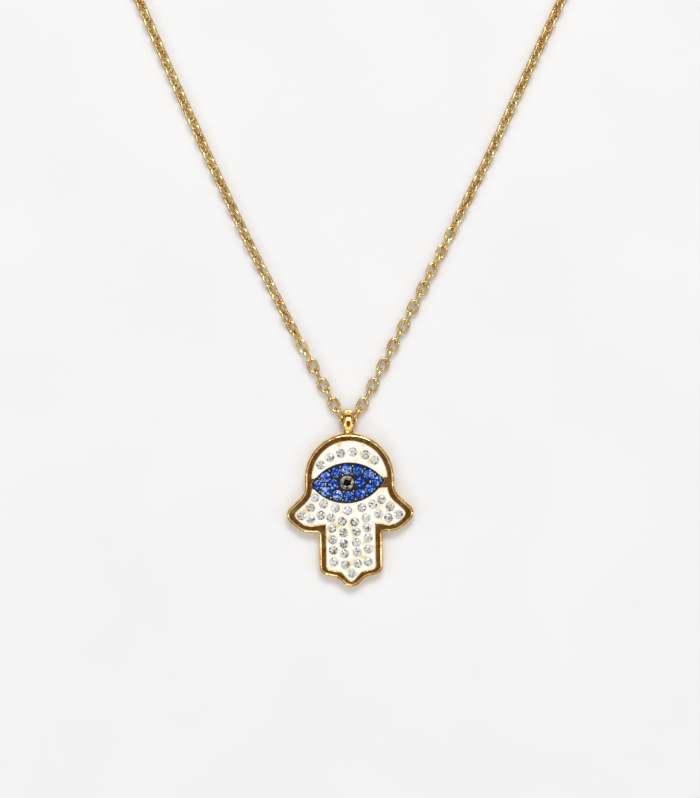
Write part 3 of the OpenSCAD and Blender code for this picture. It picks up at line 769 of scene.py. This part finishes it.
CLEAR_D, BLUE_D, PUPIL_D = 1.44, 1.58, 2.16
RESIN_TOP = 1.93
DECK = 1.86
CLEAR_GIRDLE = RESIN_TOP + 0.01
EYE_GIRDLE = DECK + 0.05
set_stones("crown_rhinestones", crown_places, CLEAR_D, CLEAR_GIRDLE, ["crown_stones"],
           clear_glass)
set_stones("palm_rhinestones", palm_places, CLEAR_D, CLEAR_GIRDLE, ["palm_stones"],
           clear_glass)
set_stones("blue_eye_stones", blue_places, BLUE_D, EYE_GIRDLE, blue_nodes, blue_glass, lean=4)
set_stones("pupil_crystal", [pupil_place], PUPIL_D, EYE_GIRDLE, ["pupil_stone"], pupil_glass,
           lean=1, table=(0.0, 0.12))

# %% [markdown]
# ## The resin panels
# Each panel is poured round its stones, so it has a cone-shaped seat under every stone. The seats are
# many small cones joined into one cutter, and the cone follows the stone's own underside. The panel
# itself is the pocket's outline again, a hair smaller, with a small round at its top, where the resin
# shrank as it set.

# %% Seats and panels
RESIN_GAP = 0.02
RESIN_EYE_GAP = 0.03
PANEL_ROUND = 0.08
SEAT_GAP, SEAT_DEEPER, SEAT_RISE = 0.004, 0.02, 0.3


def seats(places, diameter, girdle_z):
    """One cutter: under every stone a cone as wide as its girdle, and straight up from there."""
    bm = bmesh.new()
    radius = diameter / 2 + SEAT_GAP
    deep = radius * DEPTH + SEAT_DEEPER
    for place in places:
        bmesh.ops.create_cone(bm, cap_ends=True, segments=32, radius1=0.002, radius2=radius, depth=deep,
                              matrix=Matrix.Translation((place.x, place.y, girdle_z - deep / 2)))
    caps = [f for f in bm.faces if f.normal.z > 0.9]
    grown = bmesh.ops.extrude_face_region(bm, geom=caps)["geom"]
    bmesh.ops.delete(bm, geom=caps, context="FACES_ONLY")
    bmesh.ops.translate(bm, vec=(0, 0, SEAT_RISE),
                        verts=[g for g in grown if isinstance(g, bmesh.types.BMVert)])
    return bm


def resin_panel(name, node, side, places):
    """The panel above the eye (side 1) or below it (side -1), with its seats."""
    bm = resin_field(side, RESIN_GAP, POCKET_FLOOR, RESIN_TOP)
    round_edges_at(bm, RESIN_TOP, PANEL_ROUND, 3)
    bm = carve(bm, eye_prism(RESIN_EYE_GAP, POCKET_FLOOR - 1, PLATE_THICK + 1))
    turn_hand(bm)
    bm = carve(bm, seats(places, CLEAR_D, CLEAR_GIRDLE))
    return add_piece(bm, name, [node], resin)


resin_panel("crescent_resin", "upper_panel", 1, crown_places)
resin_panel("palm_resin", "lower_panel", -1, palm_places)

# %% [markdown]
# ## The eye's tray
# The tray is an almond with a thin raised border, a hair prouder than the plate. Insetting its top
# face leaves the border, and the face inside is then pushed down to make the deck. The same cutter of
# cones that seats the clear stones seats the blue ones.

# %% The tray, its border and its seats
BORDER = 0.15
BORDER_ROUND = 0.03
BORDER_TOP = PLATE_THICK + 0.02
DECK_SEAT = DECK + 0.02
tray = almond(0, POCKET_FLOOR)
top = raise_to(tray, BORDER_TOP - POCKET_FLOOR)
bmesh.ops.inset_region(tray, faces=[top], thickness=BORDER, use_even_offset=True, use_boundary=True)
deck = bmesh.ops.extrude_face_region(tray, geom=[top])["geom"]
bmesh.ops.delete(tray, geom=[top], context="FACES_ONLY")
bmesh.ops.translate(tray, vec=(0, 0, DECK - BORDER_TOP),
                    verts=[g for g in deck if isinstance(g, bmesh.types.BMVert)])
bmesh.ops.recalc_face_normals(tray, faces=tray.faces[:])
tray = inside_rim(tray, EYE_SEAT_GAP)
soften(tray, BORDER_ROUND)
turn_hand(tray)
tray = carve(tray, seats(blue_places, BLUE_D, DECK_SEAT))
tray = carve(tray, seats([pupil_place], PUPIL_D, DECK_SEAT))
# Its near-black deck is painted shade between the stones.
add_piece(tray, "eye_tray", ["eye_setting"], dark_tray_painted_shade)

# %% [markdown]
# The setter raises small grains of metal between the stones, and they grip the girdles. The ring of
# stones says where there is room: beside the line between each two neighbours, inwards and outwards.
# Each place is kept only if no stone and no border is in the way. A grain is an icosphere, sunk a
# little into the deck.

# %% The silver grains between the stones
GRAIN_D = 0.32
GRAIN_Z = DECK + 0.12
GRAIN_ROOM = 0.08
GRAIN_ASIDE = 0.42
RING_STONES = 12


def grain_places():
    """Beside the line between each two neighbours of the ring, wherever no stone is in the way."""
    found = []
    for k in range(RING_STONES):
        a, b = blue_places[k].xy, blue_places[(k + 1) % RING_STONES].xy
        aside = (b - a).normalized().orthogonal() * BLUE_D * GRAIN_ASIDE
        for place in ((a + b) / 2 + aside, (a + b) / 2 - aside):
            room = min((place - q.xy).length for q in blue_places) - BLUE_D / 2
            pupil_room = (place - pupil_place.xy).length - PUPIL_D / 2
            local = Matrix.Rotation(-HAND_TURN, 2) @ place - EYE_AT
            local = Matrix.Rotation(-EYE_TURN, 2) @ local
            inside = EYE_ARC - BORDER - Vector((local.x, abs(local.y) + EYE_ARC - EYE_HIGH / 2)).length
            if min(room, pupil_room) > GRAIN_D / 2 + GRAIN_ROOM and inside > GRAIN_D / 2:
                found.append(place)
    return found


grains = bmesh.new()
for place in grain_places():
    bmesh.ops.create_icosphere(grains, subdivisions=2, radius=GRAIN_D / 2,
                               matrix=Matrix.Translation((place.x, place.y, GRAIN_Z)))
add_piece(grains, "silver_grains", ["eye_setting"], bright_grain, smooth_under=180)

# %% [markdown]
# ## The chain
# A cable chain is oval links of round wire, each turned a quarter against the next. The sweep that
# bent the bail bends a link too: a ring of eight edges goes round two half turns with straights
# between. It has few faces because it is used over three hundred times, and smooth shading rounds it.
# The wire is 0.06 mm thicker than the CAD model's, inside its outline: the solids keep a little clear
# of each other, where real links touch.

# %% One link and the jump ring
LINK_LONG, LINK_WIDE, WIRE = 2.7, 1.825, 0.48
LINK_BEND = (LINK_WIDE - WIRE) / 2


def one_link():
    """One link's mesh, lying along X with its middle at the origin."""
    bend = Vector((0, -LINK_BEND, 0))
    place = bend + Vector(((LINK_LONG - LINK_WIDE) / 2, 0, 0))
    wire = ring_section(8, WIRE, WIRE, place, Vector((1, 0, 0)))
    return as_mesh(closed_band(wire, bend, LINK_LONG - LINK_WIDE, Vector((0, 0, 1)), 5), "link")


def wire_ring(wire, diameter, place, steps):
    """A round ring of round wire, lying flat with its middle at place."""
    bm = ring_section(12, wire, wire, Vector((diameter / 2, 0, 0)), Vector((0, 1, 0)))
    bmesh.ops.spin(bm, geom=bm.verts[:] + bm.edges[:], cent=(0, 0, 0), axis=(0, 0, 1),
                   angle=2 * math.pi, steps=steps, use_merge=True)
    bmesh.ops.recalc_face_normals(bm, faces=bm.faces[:])
    bmesh.ops.translate(bm, vec=place, verts=bm.verts[:])
    return bm


link_mesh = one_link()
print("a link has", len(link_mesh.polygons), "faces")

ring_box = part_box("jump_ring")
ring_middle = (ring_box[0] + ring_box[1]) / 2 / MM
ring_d = (ring_box[1].x - ring_box[0].x) / MM - WIRE
jump_ring = wire_ring(WIRE, ring_d, ring_middle, 48)
add_piece(jump_ring, "jump_ring_wire", ["jump_ring"], drawn_gold, smooth_under=180)

# %% [markdown]
# Each CAD link tells its own place and direction, so no list of places is needed here. The spread of
# its surface is greatest along the link, less across it and least through the wire, and those three
# directions are the axes of its spread.

# %% Reading the links' places
def link_matrix(part):
    """Where one CAD link lies: its long, wide and thin axes and its middle."""
    centres = np.array([list(c) for c, _, _ in part])
    areas = np.array([a for _, a, _ in part])
    mean = (centres * areas[:, None]).sum(0) / areas.sum()
    spread = ((centres - mean) * areas[:, None]).T @ (centres - mean)
    _, axes = np.linalg.eigh(spread)
    long, wide = Vector(axes[:, 2]), Vector(axes[:, 1])
    if long.y < 0:
        long.negate()
    turn = Matrix((long, wide, long.cross(wide))).transposed().to_4x4()
    return Matrix.Translation(Vector(mean)) @ turn


def string_links(name, node, matrices):
    """One piece of many links, each placed by its matrix."""
    bm = bmesh.new()
    for matrix in matrices:
        start = len(bm.verts)
        bm.from_mesh(link_mesh)
        bm.verts.ensure_lookup_table()
        bmesh.ops.transform(bm, matrix=matrix, verts=bm.verts[start:])
    return add_piece(bm, name, [node], drawn_gold, smooth_under=180)


strands = {}
for side in ("left", "right"):
    found = [link_matrix(part) for part in loose_parts("chain_" + side)]
    strands[side] = sorted(found, key=lambda m: m.translation.y)
    string_links(f"strand_{side}", "chain_" + side, strands[side])

# %% [markdown]
# Round the nape the CAD model has a plain tube, past the edge of the photo. The real chain goes on
# there, so links take the tube's place. They follow its arc from the strand's last link to the clasp,
# each rolled 45 degrees to one side and the next to the other, as a cable chain lies on a table. The
# last few rise and turn upright or flat, to hook into the clasp's eye. A route of close points lets
# the loop measure off one pitch after another along it.

# %% The links round the nape
clasp_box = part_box("clasp")
clasp_at = (clasp_box[0] + clasp_box[1]) / 2 / MM
nape_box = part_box("nape_right")
NAPE_TUBE = 1.5
nape_r = nape_box[1].x / MM - NAPE_TUBE / 2 - clasp_at.x
nape_at = Vector((clasp_at.x, clasp_at.y - nape_r, 0))
# The pitch of links pushed together, how far from the middle the last one stops, the height of a
# rolled link's middle over the table, and how far the strand leans
BUNCHED = 1.41
LAST_LINK = 5.43
ROLLED = math.radians(45)
LYING = LINK_BEND * math.cos(ROLLED) + WIRE / 2
LEAN = math.radians(24.2)
ROUTE_RUN, ROUTE_ARC = 40, 2400


def nape_route(start, sign):
    """Close points: straight on from the strand, then round the arc to the clasp."""
    touch = nape_at + Vector((sign * nape_r * math.cos(LEAN), -nape_r * math.sin(LEAN), 0))
    end = math.pi / 2 - math.asin(LAST_LINK / nape_r)
    run = [start.lerp(touch, k / ROUTE_RUN) for k in range(ROUTE_RUN)]
    turns = [-LEAN + (end + LEAN) * k / ROUTE_ARC for k in range(ROUTE_ARC + 1)]
    return run + [nape_at + Vector((sign * nape_r * math.cos(a), nape_r * math.sin(a), 0)) for a in turns]


def nape_links(side, sign):
    """Where the links of one side of the nape lie."""
    last = strands[side][-1]
    route = nape_route(Vector((last.translation.x, last.translation.y, 0)), sign)
    total = sum((b - a).length for a, b in zip(route, route[1:]))
    count = round(total / BUNCHED)
    pitch = total / count
    matrices, walked, wanted = [], 0.0, pitch
    for a, b in zip(route, route[1:]):
        step = (b - a).length
        if walked + step >= wanted - 1e-6 and len(matrices) < count:
            share = (wanted - walked) / step
            on = (b - a).normalized()
            left = count - len(matrices) - 1
            rise = LYING + (clasp_at.z - LYING) * max(0, 1 - left / 4)
            number = len(strands[side]) + len(matrices)
            way = 1 if number % 2 == 0 else -1
            roll = way * ROLLED
            if left % 2 == 0:
                roll += way * ROLLED * max(0, 1 - left / 3)
            turn = Matrix((on, Vector((-on.y, on.x, 0)), Vector((0, 0, 1)))).transposed().to_4x4()
            place = Matrix.Translation(a.lerp(b, share) + Vector((0, 0, rise)))
            matrices.append(place @ turn @ Matrix.Rotation(roll, 4, "X"))
            wanted += pitch
        walked += step
    return matrices


for side, sign in (("left", -1), ("right", 1)):
    links = nape_links(side, sign)
    print("nape", side, len(links), "links")
    string_links(f"nape_chain_{side}", "nape_" + side, links)

# %% [markdown]
# ## The clasp
# The photo doesn't show the clasp. A plain barrel clasp suits so fine a chain: a polished barrel with
# rounded ends, a fine seam where its halves screw together, and a small eye at each end. Two cuts
# close to the middle leave a narrow band of faces, and insetting that band inwards makes the seam.

# %% The barrel clasp
BARREL_D, BARREL_LONG, BARREL_ROUND = 2.2, 6.0, 0.35
SEAM_WIDE, SEAM_DEEP = 0.12, 0.08
EYE_RING, EYE_WIRE = 1.8, 0.5
barrel = bmesh.new()
bmesh.ops.create_cone(barrel, cap_ends=True, segments=40, radius1=BARREL_D / 2, radius2=BARREL_D / 2,
                      depth=BARREL_LONG)
for cut in (-SEAM_WIDE / 2, SEAM_WIDE / 2):
    bmesh.ops.bisect_plane(barrel, geom=barrel.verts[:] + barrel.edges[:] + barrel.faces[:],
                           plane_co=(0, 0, cut), plane_no=(0, 0, 1))
seam = [f for f in barrel.faces if abs(f.calc_center_median().z) < SEAM_WIDE / 2 - 0.01]
bmesh.ops.inset_region(barrel, faces=seam, thickness=0.02, depth=-SEAM_DEEP, use_even_offset=True)
soften(barrel, BARREL_ROUND, 5, over=80)
along_x = Matrix.Rotation(math.radians(90), 3, "Y")
bmesh.ops.rotate(barrel, cent=(0, 0, 0), matrix=along_x, verts=barrel.verts[:])
bmesh.ops.translate(barrel, vec=clasp_at, verts=barrel.verts[:])
add_piece(barrel, "clasp_barrel", ["clasp"], cast_gold)

for end, side in ((-1, "left"), (1, "right")):
    eye_at = clasp_at + Vector((end * (BARREL_LONG + EYE_RING) / 2, 0, 0))
    clasp_eye = wire_ring(EYE_WIRE, EYE_RING, eye_at, 32)
    add_piece(clasp_eye, f"clasp_eye_{side}", ["clasp"], cast_gold, smooth_under=180)

# %% [markdown]
# ## The table
# The necklace lies on a plain, matt board, near-white to the eye and without gloss. A faint mottle, 25
# mm wide, keeps it from looking like a flat colour. It is far larger than the camera's view, so that
# no edge shows from any side, and a hair lower than the links, so that no two faces share a plane.

# %% The pale board
BOARD_REACH = 3000
BOARD_GAP = 0.02
MOTTLE_MM = 25


def pale_board():
    material, tree, where = new_material("matt_white_board")
    mottle = add_node(tree, "ShaderNodeTexNoise", {"Vector": where},
                      {"Scale": 1 / (MOTTLE_MM * MM), "Detail": 3.0})
    colour = add_node(tree, "ShaderNodeValToRGB", {"Fac": mottle.outputs["Fac"]},
                      stops=[(0.3, "#EFEFF0"), (0.7, "#F2F2F2")])
    board = add_node(tree, "ShaderNodeBsdfPrincipled", {"Base Color": colour.outputs["Color"]},
                     {"Roughness": 0.9})
    add_node(tree, "ShaderNodeOutputMaterial", {"Surface": board.outputs[0]})
    return material


board_bm = bmesh.new()
bmesh.ops.create_grid(board_bm, x_segments=1, y_segments=1, size=BOARD_REACH * MM,
                      matrix=Matrix.Translation((0, 0, -BOARD_GAP * MM)))
board_mesh = as_mesh(board_bm, "board")
board_mesh.materials.append(pale_board())
board = put_in_scene("board", board_mesh)
print("board", round(board.dimensions.x, 2), "m wide")

# %% [markdown]
# ## Light
# Polished metal shows the room it mirrors. Straight above hangs the dark camera, with a ring of soft
# white light round it, and the walls fall off to a dark floor. The flat rim mirrors the dark middle,
# which makes it brown. Its round edge, the bail and the wires mirror the ring, which draws their
# bright lines. The ring is a colour ramp over the height of the world's direction, 1 straight up and
# 0 at the horizon: white from 0.88 to 0.945, which is 28 to 19 degrees off the vertical.
#
# Four panels add the shadows. The main one stands beyond the top of the photo, because the shadows
# fall away from there, and it is large, so that they are soft.

# %% Panels of light, and a ring of light in the sky
scene.view_settings.view_transform = "Standard"
scene.view_settings.look = "None"
PANEL_AIM = Vector((0, 20, 0))


def panel(name, place, size, power):
    """A soft white panel in millimetres that faces the necklace, with its power in watts."""
    light = bpy.data.lights.new(name, "AREA")
    light.shape = "RECTANGLE"
    light.size, light.size_y = size[0] * MM, size[1] * MM
    light.energy = power
    lamp = put_in_scene(name, light)
    lamp.location = Vector(place) * MM
    aim = PANEL_AIM * MM - lamp.location
    lamp.rotation_euler = aim.to_track_quat("-Z", "Y").to_euler()
    print(name, power, "W")


panel("main_panel", (80, 1000, 1250), (800, 560), 11.0)
panel("left_panel", (-1040, -120, 840), (200, 600), 1.1)
panel("right_panel", (1040, -120, 840), (200, 600), 1.1)
panel("front_panel", (-200, -1120, 760), (500, 120), 2.0)


def ring_of_light():
    """A world that is dark straight up, white in a ring round that, and dark again below."""
    world = bpy.data.worlds.new("studio")
    scene.world = world
    world.use_nodes = True
    tree = world.node_tree
    tree.nodes.clear()
    way = add_node(tree, "ShaderNodeTexCoord").outputs["Generated"]
    height = add_node(tree, "ShaderNodeSeparateXYZ", {"Vector": way}).outputs["Z"]
    shade = add_node(tree, "ShaderNodeValToRGB", {"Fac": height},
                     stops=[(0.0, "#2A2622"), (0.25, "#5E5C5A"), (0.45, "#96979A"), (0.65, "#BEBFC1"),
                            (0.80, "#E2E2E3"), (0.88, "#FFFFFF"), (0.945, "#FFFFFF"), (0.963, "#A08C7A"),
                            (0.98, "#6E5A4B"), (1.0, "#604C3C")])
    back = add_node(tree, "ShaderNodeBackground", {"Color": shade.outputs["Color"]}, {"Strength": 1.08})
    add_node(tree, "ShaderNodeOutputWorld", {"Surface": back.outputs[0]})


ring_of_light()
